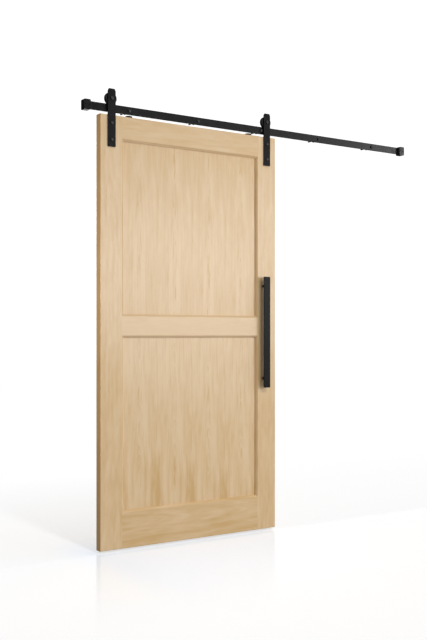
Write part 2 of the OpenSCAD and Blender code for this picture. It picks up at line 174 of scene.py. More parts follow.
class BarnDoorStage(bpy.types.PropertyGroup):
    """Floor, lights and camera."""

    floor_gap: length_setting("Floor gap", "Room under the leaf", 12 * MM, 5 * MM, 30 * MM)
    floor_colour: colour_setting("Floor", "Colour of the floor", (0.90, 0.90, 0.90))
    polish_reach: length_setting("Polished floor", "How far the floor is polished in front", 1.3)
    # The leaf's shadow on the floor is faded out by a painted white glow, not by the lamps
    shadow_reach: length_setting("Shadow reach", "How far behind the leaf its shadow fades", 2.5)
    white: number_setting("White floor", "Brightness of the floor far from the leaf", 1.01)
    floor_lift: share_setting("Floor glow", "Light that the floor gives off by itself", 0.58)
    key: number_setting("Key light", "Strength of the high, even light in front", 0.58)
    softbox: power_setting("Softbox", "Power of the soft light in front, to the right", 50)
    side: power_setting("Side light", "Power of the small warm light on the left edge", 13.5)
    back: power_setting("Back light", "Power of the soft light behind the leaf", 70)
    track: power_setting("Track light", "Power of the light on the track's right end", 90)
    sky: number_setting("Light from above", "Strength of the room's light from above", 0.44)
    ground: number_setting("Light from below", "Strength of the room's light from below", 0.40)
    from_right: share_setting("Light from the right", "How much more comes from there", 0.80)
    dim_behind: share_setting("Dimmer behind", "How much dimmer the room is behind", 0.85)
    backdrop: number_setting("Backdrop", "Brightness of the backdrop that the camera sees", 1.1)
    eye: FloatVectorProperty(
        name="Camera", description="Where the camera stands",
        subtype="TRANSLATION", unit="LENGTH", size=3, default=(-3.040, -4.157, -1.1105),
    )
    turn: FloatProperty(
        name="Camera turn", description="How far the camera is turned to the right",
        subtype="ANGLE", unit="ROTATION", default=math.radians(33.6),
    )
    lens: number_setting("Lens", "Focal length in mm on a 24 mm high sensor", 35.14, 10, 200)
    rise: number_setting("Camera shift", "Upward, as a share of the height", 0.0228, -0.2, 0.2)


# ---------- where the frame's solids are ----------


def solids_of(node):
    """Lowest and highest corner of each separate solid of a CAD node, from left to right."""
    mesh = frame["nodes"][node].data
    points = {}
    number = [
        points.setdefault(tuple(round(c, 6) for c in v.co), len(points)) for v in mesh.vertices
    ]
    parent = list(range(len(points)))

    def root(i):
        while parent[i] != i:
            parent[i] = parent[parent[i]]
            i = parent[i]
        return i

    for face in mesh.polygons:
        first = root(number[face.vertices[0]])
        for v in face.vertices[1:]:
            parent[root(number[v])] = first
    groups = {}
    for point, i in points.items():
        groups.setdefault(root(i), []).append(point)
    boxes = [
        (Vector(map(min, zip(*group))), Vector(map(max, zip(*group)))) for group in groups.values()
    ]
    return sorted(boxes, key=lambda box: (round(box[0].x, 4), round(box[0].z, 4)))


def front_of(low, high):
    """Middle of a box's front face."""
    return Vector(((low.x + high.x) / 2, low.y, (low.z + high.z) / 2))


def fronts_of(node):
    """Middle of the front end of each solid of a node whose solids lie along Y."""
    return [front_of(low, high) for low, high in solids_of(node)]


def depth_of(node):
    """Length along Y of the first solid of a node."""
    low, high = solids_of(node)[0]
    return high.y - low.y


# ---------- modelling ----------


def select_only(obj):
    """Select one object and make it the active one."""
    bpy.ops.object.select_all(action="DESELECT")
    obj.select_set(True)
    bpy.context.view_layer.objects.active = obj


@contextmanager
def edit_mode(obj, kind, picked="DESELECT"):
    """Edit one object's vertices, edges or faces, with nothing picked at first, or everything."""
    select_only(obj)
    bpy.ops.object.mode_set(mode="EDIT")
    bpy.ops.mesh.select_mode(type=kind)
    bpy.ops.mesh.select_all(action=picked)
    yield
    bpy.ops.object.mode_set(mode="OBJECT")


def pick_edges(obj, test):
    """In edit mode, pick the edges whose two ends pass the test."""
    mesh = bmesh.from_edit_mesh(obj.data)
    for edge in mesh.edges:
        edge.select_set(test(edge.verts[0].co, edge.verts[1].co))
    bmesh.update_edit_mesh(obj.data)


def pick_faces(obj, test):
    """In edit mode, pick the faces whose middle and normal pass the test."""
    mesh = bmesh.from_edit_mesh(obj.data)
    for face in mesh.faces:
        face.select_set(test(face.calc_center_median(), face.normal))
    bmesh.update_edit_mesh(obj.data)


def placed(name):
    """Name what was just added and put its place, turn and size into its mesh."""
    obj = bpy.context.active_object
    obj.name = obj.data.name = name
    bpy.ops.object.transform_apply(location=True, rotation=True, scale=True)
    return obj


def block(name, low, high):
    """A rectangular block between two corners."""
    low, high = Vector(low), Vector(high)
    bpy.ops.object.select_all(action="DESELECT")
    bpy.ops.mesh.primitive_cube_add(size=1, location=(low + high) / 2, scale=high - low)
    return placed(name)


def bar_y(name, front, radius, length, sides=48):
    """A round bar that runs back along +Y from its front end; with six sides, a hexagon bar."""
    bpy.ops.object.select_all(action="DESELECT")
    bpy.ops.mesh.primitive_cylinder_add(
        vertices=sides, radius=radius, depth=length,
        location=front + ALONG_Y * length / 2, rotation=(math.pi / 2, 0, 0),
    )
    return placed(name)


def moved(obj, offset):
    """Move a finished shape, and put the move into its mesh."""
    select_only(obj)
    bpy.ops.transform.translate(value=offset)
    bpy.ops.object.transform_apply(location=True, rotation=False, scale=False)
    return obj


def copied(obj, name, offset):
    """A copy with its own mesh, moved by the offset."""
    select_only(obj)
    bpy.ops.object.duplicate(linked=False)
    twin = bpy.context.active_object
    twin.name = twin.data.name = name
    return moved(twin, offset)


def joined(name, pieces):
    """Several shapes as one piece."""
    select_only(pieces[0])
    for piece in pieces[1:]:
        piece.select_set(True)
    if len(pieces) > 1:
        bpy.ops.object.join()
    obj = bpy.context.active_object
    obj.name = obj.data.name = name
    return obj


def repeated(name, first, start, starts):
    """A shape modelled at start, copied to every other start, as one piece."""
    copies = [copied(first, f"{name}_{i}", there - start) for i, there in enumerate(starts[1:])]
    return joined(name, [moved(first, starts[0] - start)] + copies)


def applied(obj, kind, **settings):
    """Add a modifier with its settings, and apply it."""
    select_only(obj)
    change = obj.modifiers.new(kind.title(), kind)
    for name, value in settings.items():
        setattr(change, name, value)
    bpy.ops.object.modifier_apply(modifier=change.name)
    return obj


def shaped(obj, tool, how):
    """Cut, join or trim a shape with a tool shape, which is then thrown away."""
    applied(obj, "BOOLEAN", operation=how, solver="EXACT", object=tool)
    bpy.data.objects.remove(tool)
    return obj


def smoothed(obj):
    """Shade rounded faces smooth and keep real corners."""
    select_only(obj)
    bpy.ops.object.shade_smooth_by_angle(angle=SMOOTH_ANGLE)
    return obj


def eased(obj, width, segments=2, angle=math.radians(28)):
    """Break every edge sharper than the angle by a small rounding."""
    applied(
        obj, "BEVEL", width=width, segments=segments, limit_method="ANGLE",
        angle_limit=angle, use_clamp_overlap=True, miter_outer="MITER_ARC",
    )
    return smoothed(obj)


def outlined(name, points):
    """An open line through the points, drawn by extruding one vertex from each to the next."""
    bpy.ops.object.select_all(action="DESELECT")
    bpy.ops.mesh.primitive_plane_add(size=MM, location=points[0])
    obj = placed(name)
    with edit_mode(obj, "VERT", "SELECT"):
        bpy.ops.mesh.merge(type="CENTER")
        for here, there in zip(points, points[1:]):
            bpy.ops.mesh.extrude_region_move(TRANSFORM_OT_translate={"value": there - here})
    return obj


def turned(name, centre, profile, axis=ALONG_Y, steps=64):
    """A half section of (radius, distance along the axis) points, spun about the axis."""
    obj = outlined(name, [centre + Vector((r, 0, 0)) + axis * a for r, a in profile])
    with edit_mode(obj, "VERT", "SELECT"):
        bpy.ops.mesh.spin(steps=steps, angle=FULL_TURN, center=centre, axis=axis)
        bpy.ops.mesh.select_all(action="SELECT")
        bpy.ops.mesh.remove_doubles(threshold=MERGE)
        bpy.ops.mesh.normals_make_consistent(inside=False)
    return smoothed(obj)


def ring(name, front, outer, inner, length, chamfer, steps=64):
    """A turned ring along +Y with all four rims chamfered."""
    profile = [
        (inner + chamfer, 0), (outer - chamfer, 0), (outer, chamfer), (outer, length - chamfer),
        (outer - chamfer, length), (inner + chamfer, length), (inner, length - chamfer),
        (inner, chamfer), (inner + chamfer, 0),
    ]
    return turned(name, front, profile, steps=steps)


def thread_ridge(name, front, start, end, crest, root, pitch, steps=24):
    """The ridge of a V thread, wound round a bar along +Y from start to end, its ends closed."""
    land, sunk = pitch / 8, 0.3 * MM
    section = [
        Vector((root - sunk, 0.05 * pitch, 0)), Vector((crest, (pitch - land) / 2, 0)),
        Vector((crest, (pitch + land) / 2, 0)), Vector((root - sunk, 0.95 * pitch, 0)),
    ]
    obj = outlined(name, section + section[:1])
    with edit_mode(obj, "VERT", "SELECT"):
        bpy.ops.mesh.remove_doubles(threshold=MERGE)
    applied(
        obj, "SCREW", axis="Y", angle=FULL_TURN, screw_offset=pitch, steps=steps,
        render_steps=steps, iterations=int((end - start) / pitch) - 1,
    )
    with edit_mode(obj, "VERT", "SELECT"):
        bpy.ops.mesh.fill_holes(sides=0)
        bpy.ops.mesh.select_all(action="SELECT")
        bpy.ops.mesh.normals_make_consistent(inside=False)
    return moved(obj, front + ALONG_Y * start)


def tapered(obj, front, start, end, share):
    """Draw a shape in towards the axis along +Y, from full size at start to a share at end."""
    for v in obj.data.vertices:
        t = min(max((v.co.y - front.y - start) / (end - start), 0), 1)
        scale = 1 - t * (1 - share)
        v.co.x = front.x + (v.co.x - front.x) * scale
        v.co.z = front.z + (v.co.z - front.z) * scale
    return obj


# The chamfer of a bolt head: its circle as a share of the width across flats, and its slope
CHAMFER_CIRCLE = 0.475
CHAMFER_SLOPE = math.tan(math.radians(30))
WASHER_FACE = 0.4 * MM
NUT_SINK = 0.6 * MM


def hexagon(name, front, across, height, bore=0.0):
    """A bolt head with a chamfered front and a round washer face; with a bore, a nut."""
    corner = across / math.sqrt(3) * 1.02
    land = CHAMFER_CIRCLE * across
    drop = (corner - land) * CHAMFER_SLOPE
    if bore:
        mouth = bore + NUT_SINK
        profile = [
            (mouth, 0), (land, 0), (corner, drop), (corner, height - drop), (land, height),
            (mouth, height), (bore, height - NUT_SINK), (bore, NUT_SINK), (mouth, 0),
        ]
    else:
        profile = [
            (0, 0), (land, 0), (corner, drop), (corner, height - WASHER_FACE),
            (land, height - WASHER_FACE), (land, height), (0, height),
        ]
    obj = bar_y(name, front - ALONG_Y * MM, across / math.sqrt(3), height + 2 * MM, sides=6)
    shaped(obj, turned("Chamfer", front, profile), "INTERSECT")
    return smoothed(obj)


def stood_for(obj, node, material):
    """Give a piece its material, and let it ride and stand for one CAD node.

    Flat faces are shaded flat right up to their small roundings.
    """
    applied(obj, "WEIGHTED_NORMAL", weight=100, keep_sharp=True)
    obj.data.materials.clear()
    obj.data.materials.append(material)
    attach(obj, BODY_OF[node])
    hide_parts(node)
    return obj


def all_stood_for(first, node, material):
    """Copy a shape modelled at a node's first solid to the others, and let all stand for it."""
    fronts = fronts_of(node)
    return stood_for(repeated(first.name, first, fronts[0], fronts), node, material)


def coated(obj, node):
    """Break a plate's or a bar's edges, coat it black, and let it stand for its CAD node."""
    eased(obj, bpy.context.scene.barn_door_steel.easing, segments=3)
    return stood_for(obj, node, black_steel())


def first_ring(name, node, bore, chamfer):
    """A turned ring of the size and in the place of a node's first solid."""
    low, high = solids_of(node)[0]
    return ring(name, front_of(low, high), (high.x - low.x) / 2, bore, high.y - low.y, chamfer)


def socketed(obj, start, half_width, length):
    """Cut a hexagon socket along +Y, half_width from its axis to its flats."""
    tool = bar_y("Socket", start, half_width / math.cos(math.pi / 6), length, sides=6)
    return smoothed(shaped(obj, tool, "DIFFERENCE"))


def painted(node, material):
    """Give a material to a CAD node that is shown as it is."""
    for slot in frame["nodes"][node].material_slots:
        slot.material = material


# ---------- shader maths ----------


class Wire:
    """One output of a node. Arithmetic on it adds Math nodes, and node() adds any other."""

    def __init__(self, tree, socket=None):
        self.tree = tree
        self.socket = socket

    def node(self, kind, settings=None, inputs=None, output=0):
        """Add a node: its settings first, then values or links of its sockets; give one output."""
        made = self.tree.nodes.new(kind)
        for name, value in (settings or {}).items():
            setattr(made, name, value)
        for key, value in (inputs or {}).items():
            if isinstance(value, Wire):
                self.tree.links.new(value.socket, made.inputs[key])
            else:
                made.inputs[key].default_value = value
        return Wire(self.tree, made.outputs[output])

    def maths(self, operation, *values):
        return self.node("ShaderNodeMath", {"operation": operation}, dict(enumerate(values)))

    def __add__(self, other):
        return self.maths("ADD", self, other)

    __radd__ = __add__

    def __sub__(self, other):
        return self.maths("SUBTRACT", self, other)

    def __rsub__(self, other):
        return self.maths("SUBTRACT", other, self)

    def __mul__(self, other):
        return self.maths("MULTIPLY", self, other)

    __rmul__ = __mul__

    def __truediv__(self, other):
        return self.maths("DIVIDE", self, other)

    def __pow__(self, other):
        return self.maths("POWER", self, other)

    def xyz(self):
        """The three numbers of a vector."""
        split = self.tree.nodes.new("ShaderNodeSeparateXYZ")
        self.tree.links.new(self.socket, split.inputs[0])
        return [Wire(self.tree, out) for out in split.outputs]

    def clamped(self):
        """This number, kept from 0 to 1."""
        return self.node("ShaderNodeClamp", {}, {"Value": self})

    def eased_between(self, low, high):
        """0 below low, 1 above high and a smooth rise between them."""
        return self.node(
            "ShaderNodeMapRange", {"interpolation_type": "SMOOTHSTEP"},
            {"Value": self, "From Min": low, "From Max": high},
        )

    def cloud(self, x, y, z, detail=2.0):
        """Soft noise about 0.5 whose cells are one unit across in the given coordinates."""
        at = self.node("ShaderNodeCombineXYZ", {}, {0: x, 1: y, 2: z})
        return self.node("ShaderNodeTexNoise", {}, {"Vector": at, "Scale": 1.0, "Detail": detail})

    def blend(self, pale, dark):
        """A colour between two, by this factor."""
        return self.node(
            "ShaderNodeMix", {"data_type": "RGBA"}, {0: self, 6: pale, 7: dark}, output=2
        )

    def bumped(self, strength, distance):
        """This height as a bumped normal."""
        return self.node(
            "ShaderNodeBump", {}, {"Height": self, "Strength": strength, "Distance": distance}
        )


def opaque(colour):
    """A colour property as the four numbers that a socket takes."""
    return (*colour, 1.0)


def new_finish(name):
    """An empty material, its shader, a wire for its pattern, and the place on the object."""
    material = bpy.data.materials.new(name)
    material.use_nodes = True
    sheet = Wire(material.node_tree)
    place = sheet.node("ShaderNodeTexCoord", {}, {}, output="Object").xyz()
    return material, material.node_tree.nodes["Principled BSDF"], sheet, place


def linked(shader, socket, wire):
    """Lead a wire into one socket of a shader."""
    wire.tree.links.new(wire.socket, shader.inputs[socket])


def fixed(shader, **values):
    """Set a shader's own sockets, which are the same all over the surface."""
    for name, value in values.items():
        shader.inputs[name.replace("_", " ").title().replace("Ior", "IOR")].default_value = value


def wood(
    name, grain="Z", heart=(0.0, 0.05), lean=0.0, start=None, bow=6 * MM, bow_length=0.25,
    contrast=1.0, fine=1.0, rings=0.1, shade=0.0, seed=0.0, leaves=None, dashes=0.0, foot=0.0,
    height=(0.0, 1.0),
):
    """Lacquered wood: growth rings round a heart line that runs along the grain, cut by the board.

    heart is the heart line's place across and behind the board's middle. lean is how fast the line
    falls away along the grain, which draws the pointed arches, from the place start = (side,
    place) onwards. bow is how far the rings wander, over stretches of bow_length. leaves is (left
    edge, width) of matched veneer leaves, dashes darkens short flecks down each leaf's middle, and
    foot darkens each leaf towards the lower end of height, most near its joints. shade darkens the
    whole board, and contrast, fine and rings are the strengths of its bands, pores and late wood.
    Each cloud's factors are its cells in a metre.
    """
    look = bpy.context.scene.barn_door_wood
    material, shader, sheet, (x, y, z) = new_finish(name)
    along, across = (z, x) if grain == "Z" else (x, z)
    deep = y - LEAF_MIDDLE.y
    shift = along + seed
    if leaves:
        left, width = leaves
        steps = (across - left) / width
        leaf = steps.maths("FLOOR", steps)
        across = (steps - leaf - 0.5) * width
        deep = deep + leaf * 0.9 * MM
        shift = shift + leaf * 0.06

    reach = along
    if start:
        side, place = start
        reach = reach.maths("SMOOTH_MAX", (along - place) * side, 0.0, 0.08) * side
    sway = sheet.cloud(across * 14 + seed, deep * 14, shift / bow_length)
    swell = sheet.cloud(across * 9, deep * 9 + seed, shift / bow_length + 7.3, detail=3.0)
    u = across - heart[0] + (sway - 0.5) * 2 * bow
    d = deep + heart[1] + reach * lean + (swell - 0.5) * 2 * bow
    radius = (u * u + d * d) ** 0.5

    uneven = sheet.cloud(radius / (4 * look.ring), shift * 0.7, seed)
    count = radius / look.ring + uneven * 2.2
    late = count.maths("FRACT", count) ** 2.5
    band = sheet.cloud(radius / (2.2 * look.ring), shift * 2.4, seed + 3.1, detail=3.0)
    streak = sheet.cloud(across * 46, deep * 40 + seed, shift * 5.0, detail=4.0)
    mottle = sheet.cloud(across * 52 + seed, deep * 40, shift * 11, detail=4.0)
    fibre = sheet.cloud(across * 900, deep * 900, shift * 22, detail=2.0)
    fleck = sheet.cloud(across * 380, deep * 380, shift * 48 + seed, detail=1.0)
    fleck = fleck.eased_between(0.66, 0.78)
    patch = sheet.cloud(across * 11, deep * 5 + seed, shift * 3.6, detail=3.0)

    tone = (
        0.36 + shade
        + (band - 0.5) * 1.5 * contrast
        + (late - 0.28) * rings
        + (streak - 0.5) * 0.7 * contrast
        + (mottle - 0.5) * 1.0 * fine
        + (fibre - 0.5) * 0.40 * fine
        + (patch - 0.5) * 1.3 * contrast
        + fleck * 0.30 * fine
    )
    if leaves:
        off_middle = across.maths("ABSOLUTE", across) / (leaves[1] / 2)
        dash = sheet.cloud(across * 120 + seed, leaf * 5.3, shift * 10, detail=2.5)
        dash = dash.eased_between(0.54, 0.68) * (1 - off_middle.eased_between(0.02, 0.16))
        low = 1 - along.eased_between(height[0], height[1])
        joint = off_middle.eased_between(0.45, 1.0) * (streak.eased_between(0.38, 0.62) + 0.2)
        seam = off_middle.eased_between(0.996, 1.0)
        tone = tone + dash * dashes + (joint + 0.06) * low * foot + seam * 0.25
    linked(shader, "Base Color", tone.clamped().blend(opaque(look.pale), opaque(look.dark)))
    linked(shader, "Roughness", (fibre - 0.5) * 0.16 + late * 0.05 + look.satin)
    relief = fibre * 0.55 - late * 0.30 - fleck * 0.45
    linked(shader, "Normal", relief.bumped(0.35, 0.06 * MM))
    fixed(shader, specular_ior_level=0.5, coat_weight=1.0, coat_roughness=0.30, coat_ior=1.5)
    return material


def speckled(name, colour, other, fine, coarse, tone, roughness, relief, **constants):
    """A finish between two colours that varies by a fine and a coarse cloud.

    fine is (cells in a metre across Y, the same along Y, detail), and coarse is (cells, detail).
    tone and roughness are (share of the fine cloud, share of the coarse one, middle), and relief
    is the fine cloud's bump as (strength, distance).
    """
    material, shader, sheet, (x, y, z) = new_finish(name)
    across, along, detail = fine
    grain = sheet.cloud(x * across, y * along, z * across, detail=detail)
    cells, detail = coarse
    mottle = sheet.cloud(x * cells, y * cells, z * cells, detail=detail)

    def mixed(fine_share, coarse_share, middle):
        return (mottle - 0.5) * coarse_share + (grain - 0.5) * fine_share + middle

    linked(shader, "Base Color", mixed(*tone).clamped().blend(opaque(colour), opaque(other)))
    linked(shader, "Roughness", mixed(*roughness))
    linked(shader, "Normal", grain.bumped(*relief))
    fixed(shader, **constants)
    return material


def finish(name, tint, gain, lift, *pattern, **constants):
    """The named finish of one of the fittings' colours, made when it is first asked for.

    Its second colour is the first times gain, plus lift.
    """
    colour = getattr(bpy.context.scene.barn_door_steel, tint)
    other = [c * gain + lift for c in colour]
    return bpy.data.materials.get(name) or speckled(name, colour, other, *pattern, **constants)


def black_steel():
    """Matt black powder coat: a fine orange-peel skin over plate and bar."""
    return finish(
        "Powder coat", "coat", 1.9, 0.004, (900, 900, 3.0), (26, 3.0), (0.7, 1.2, 0.35),
        (0.18, 0.16, 0.36), (0.25, 0.05 * MM), specular_ior_level=0.14,
    )


def black_bolts():
    """Blackened fasteners: smoother than the coat, with fine draw marks."""
    return finish(
        "Blackened steel", "bolt", 2.4, 0.006, (1400, 300, 2.0), (120, 3.0), (0.8, 1.4, 0.35),
        (0.2, 0.2, 0.36), (0.2, 0.03 * MM), specular_ior_level=0.45,
    )


def black_nylon():
    """Moulded black plastic with a fine even grain."""
    return finish(
        "Nylon", "nylon", 2.0, 0.004, (2000, 2000, 3.0), (60, 2.0), (0.8, 1.1, 0.3),
        (0.15, 0.1, 0.48), (0.3, 0.05 * MM), specular_ior_level=0.35,
    )


def black_rubber():
    """Moulded black rubber, duller and finer than the nylon."""
    return finish(
        "Rubber", "rubber", 2.0, 0.004, (2857.14, 2857.14, 3.0), (60, 2.0), (0.8, 1.1, 0.3),
        (0.15, 0.1, 0.72), (0.3, 0.05 * MM), specular_ior_level=0.25,
    )


def bearing_steel():
    """Ground bearing steel with fine scratches and a thin film of oil."""
    return finish(
        "Bearing steel", "bare", 0.72, 0.0, (2200, 200, 2.0), (180, 3.0), (0.0, 1.6, 0.4),
        (0.2, 0.2, 0.27), (0.15, 0.02 * MM), metallic=1.0,
    )


# ---------- the leaf ----------


def sanded_board(node):
    """A board with sanded edges: a merged copy of the CAD board, its edges eased."""
    look = bpy.context.scene.barn_door_wood
    select_only(frame["nodes"][node])
    bpy.ops.object.duplicate(linked=False)
    obj = bpy.context.active_object
    obj.name = obj.data.name = f"sanded_{node}"
    obj.parent = None
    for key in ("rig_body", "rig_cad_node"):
        del obj[key]
    with edit_mode(obj, "VERT", "SELECT"):
        bpy.ops.mesh.remove_doubles(threshold=MERGE)
        bpy.ops.mesh.customdata_custom_splitnormals_clear()
        bpy.ops.mesh.dissolve_limited(angle_limit=math.radians(1))
    return eased(obj, look.easing, segments=2, angle=math.radians(24))


class BARNDOOR_OT_stiles(bpy.types.Operator):
    """Make the two upright stiles, with upright grain."""

    bl_idname = "barn_door.stiles"
    bl_label = "Stiles"

    def execute(self, context):
        for node, seed in (("left_stile", 2.7), ("right_stile", 12.3)):
            low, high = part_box(node)
            middle = (low.x + high.x) / 2
            grain = wood(
                f"Wood {node}", heart=(middle + 0.16, 0.16), lean=0.004, bow=6 * MM,
                bow_length=0.6, contrast=0.55, fine=1.0, shade=0.10, seed=seed,
            )
            stood_for(sanded_board(node), node, grain)
        return {"FINISHED"}


class BARNDOOR_OT_rails(bpy.types.Operator):
    """Make the top, middle and bottom rails, with the grain across the leaf."""

    bl_idname = "barn_door.rails"
    bl_label = "Rails"

    def execute(self, context):
        for node, seed, lean, contrast, fine, shade in (
            ("top_rail", 4.1, 0.03, 0.60, 0.6, 0.14), ("mid_rail", 3.9, 0.02, 0.12, 0.4, -0.06),
            ("bottom_rail", 8.2, 0.07, 0.9, 0.6, 0.28),
        ):
            low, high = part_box(node)
            grain = wood(
                f"Wood {node}", grain="X", heart=((low.z + high.z) / 2 + 0.03, 0.09),
                lean=lean, bow=9 * MM, bow_length=0.35, contrast=contrast, fine=fine,
                shade=shade, seed=seed,
            )
            stood_for(sanded_board(node), node, grain)
        return {"FINISHED"}


class BARNDOOR_OT_panels(bpy.types.Operator):
    """Finish the two flat panels in four slip-matched veneer leaves each."""

    bl_idname = "barn_door.panels"
    bl_label = "Panels"

    def execute(self, context):
        look = context.scene.barn_door_wood
        for node, seed, heart, lean, start, bow, contrast, dashes, foot, shade, rings in (
            ("upper_panel", 1.3, 0.022, 0.06, (1, -0.60), 6 * MM, 0.62, 0.95, 0.0, 0.12, 0.12),
            ("lower_panel", 5.8, 0.036, 0.085, (-1, -1.60), 10 * MM, 0.85, 0.45, 0.54, -0.08, 0.40),
        ):
            low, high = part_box(node)
            middle = (low.z + high.z) / 2
            width = (high.x - low.x) / look.veneer_leaves
            grain = wood(
                f"Wood {node}", heart=(0.0, heart), lean=lean, start=start, bow=bow,
                bow_length=0.20, contrast=contrast, fine=0.65, seed=seed, leaves=(low.x, width),
                dashes=dashes, foot=foot, shade=shade, rings=rings,
                height=(low.z, middle + 0.25),
            )
            painted(node, grain)
        return {"FINISHED"}


class BARNDOOR_OT_dowels(bpy.types.Operator):
    """Finish the bare dowels inside the frame joints."""

    bl_idname = "barn_door.dowels"
    bl_label = "Dowels"

    def execute(self, context):
        painted("rail_dowels", wood("Beech dowel", grain="X", heart=(0.02, 0.03), seed=11.0))
        return {"FINISHED"}


# ---------- the track ----------

# Lag bolts: radii at shank, thread root and crest, the point's length, and the head as (width
# across flats, height)
SHANK_RADIUS = 3.75 * MM
LAG_ROOT = 2.9 * MM
LAG_CREST = 4.0 * MM
LAG_PITCH = 3.0 * MM
LAG_POINT = 8 * MM
LAG_HEAD = (13 * MM, 5 * MM)
HOLE_PLAY = 0.25 * MM
# How far a cutter runs past the face that it enters, and how far a crest stays inside its radius
CUT_PAST = 1 * MM
CREST_PLAY = 0.02 * MM


def bored(obj, fronts, radius, length):
    """Drill a hole along +Y at each front point."""
    for front in fronts:
        drill = bar_y("Drill", front - ALONG_Y * CUT_PAST, radius, length + 2 * CUT_PAST, sides=64)
        shaped(obj, drill, "DIFFERENCE")
    return obj


class BARNDOOR_OT_track(bpy.types.Operator):
    """Make the flat track bar, bored for its wall bolts."""

    bl_idname = "barn_door.track"
    bl_label = "Track"

    def execute(self, context):
        low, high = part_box("track_bar")
        obj = block("flat_track", low, high)
        holes = [Vector((m["pos_m"][0], low.y, m["pos_m"][2])) for m in record["mounts"]]
        bored(obj, holes, LAG_CREST + HOLE_PLAY, high.y - low.y)
        coated(obj, "track_bar")
        return {"FINISHED"}


class BARNDOOR_OT_spacers(bpy.types.Operator):
    """Make the turned spacers that hold the track off the wall, and the bolts' washers."""

    bl_idname = "barn_door.spacers"
    bl_label = "Spacers and washers"

    def execute(self, context):
        for node, name, chamfer, material in (
            ("wall_spacers", "turned_spacers", 0.8 * MM, black_steel()),
            ("lag_washers", "track_washers", 0.2 * MM, black_bolts()),
        ):
            first = first_ring(name, node, LAG_CREST + HOLE_PLAY, chamfer)
            all_stood_for(first, node, material)
        return {"FINISHED"}


class BARNDOOR_OT_lag_bolts(bpy.types.Operator):
    """Make the lag bolts: hexagon head, plain shank, coarse thread and turned point."""

    bl_idname = "barn_door.lag_bolts"
    bl_label = "Lag bolts"

    def execute(self, context):
        front, length = fronts_of("lag_bolts")[0], depth_of("lag_bolts")
        across, head = LAG_HEAD
        wall, point = -front.y, length - LAG_POINT
        top = hexagon("lag_bolts_set", front, across, head)
        shank = turned("Shank", front, [
            (0, head - MM), (SHANK_RADIUS, head - MM), (SHANK_RADIUS, wall - MM),
            (LAG_ROOT, wall + MM), (LAG_ROOT, point), (0.4 * MM, length - 0.3 * MM), (0, length),
        ], steps=48)
        ridge = thread_ridge(
            "Thread", front, wall, length - 0.5 * MM, LAG_CREST - CREST_PLAY, LAG_ROOT, LAG_PITCH
        )
        tapered(ridge, front, point - LAG_PITCH, length, 0.2)
        first = smoothed(joined("lag_bolts_set", [top, shank, ridge]))
        all_stood_for(first, "lag_bolts", black_bolts())
        return {"FINISHED"}


# End stops: corner radius, play round the bar, radius of the set screws, and their hexagon
# socket as (half its width across flats, depth)
STOP_ROUND = 5 * MM
STOP_PLAY = 0.2 * MM
SET_SCREW = 3 * MM
SET_SOCKET = (1.5 * MM, 3.5 * MM)
BUMPER_ROUND = 2 * MM
BUMPER_RIM = 0.9 * MM


class BARNDOOR_OT_end_stops(bpy.types.Operator):
    """Make the end stop blocks, slotted over the track and bored for their set screws."""

    bl_idname = "barn_door.end_stops"
    bl_label = "End stops"

    def execute(self, context):
        bar_low, bar_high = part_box("track_bar")
        play = Vector((0, STOP_PLAY, STOP_PLAY))
        past = Vector((60 * MM, 0, 0))
        screws = fronts_of("stop_screws")
        for node in ("end_stop_left", "end_stop_right"):
            low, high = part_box(node)
            obj = block(f"{node}_block", low, high)
            with edit_mode(obj, "EDGE"):
                pick_edges(obj, lambda a, b: abs(a.y - b.y) > MM)
                bpy.ops.mesh.bevel(offset=STOP_ROUND, segments=8, affect="EDGES")
            shaped(obj, block("Slot", bar_low - play - past, bar_high + play + past), "DIFFERENCE")
            holes = [Vector((s.x, low.y, s.z)) for s in screws if low.x < s.x < high.x]
            bored(obj, holes, SET_SCREW, (bar_low.y - STOP_PLAY) - low.y)
            coated(obj, node)
        return {"FINISHED"}


class BARNDOOR_OT_stop_screws(bpy.types.Operator):
    """Make the headless set screws that clamp the end stops."""

    bl_idname = "barn_door.stop_screws"
    bl_label = "Set screws"

    def execute(self, context):
        front, length = fronts_of("stop_screws")[0], depth_of("stop_screws")
        half_width, depth = SET_SOCKET
        rim = 0.5 * MM
        first = turned("set_screws", front, [
            (0, 0), (SET_SCREW - rim, 0), (SET_SCREW, rim), (SET_SCREW, length - 2 * rim),
            (SET_SCREW - 2 * rim, length), (0, length),
        ], steps=48)
        socketed(first, front - ALONG_Y * CUT_PAST, half_width, depth + CUT_PAST)
        all_stood_for(first, "stop_screws", black_bolts())
        return {"FINISHED"}


class BARNDOOR_OT_bumpers(bpy.types.Operator):
    """Make the rubber bumpers on the end stops, with soft rounded faces."""

    bl_idname = "barn_door.bumpers"
    bl_label = "Bumpers"

    def execute(self, context):
        pieces = []
        for i, (low, high) in enumerate(solids_of("stop_bumpers")):
            obj = block(f"bumper_{i}", low, high)
            with edit_mode(obj, "EDGE"):
                pick_edges(obj, lambda a, b: abs(a.x - b.x) > MM)
                bpy.ops.mesh.bevel(offset=BUMPER_ROUND, segments=6, affect="EDGES")
            pieces.append(eased(obj, BUMPER_RIM, segments=4))
        stood_for(joined("rubber_bumpers", pieces), "stop_bumpers", black_rubber())
        return {"FINISHED"}


# ---------- the hangers ----------

# Straps: the clipped top corners as (width, height), and the roundings of the outline
STRAP_CLIP = (5 * MM, 12 * MM)
STRAP_TOP = 2 * MM
STRAP_SHOULDERS = 1.2 * MM
STRAP_FOOT = 3 * MM
# Bolts: radius, and the head as (width across flats, height)
STRAP_BOLT = 4 * MM
STRAP_HEAD = (13 * MM, 5.3 * MM)
AXLE = 5 * MM
AXLE_HEAD = (16 * MM, 6.4 * MM)


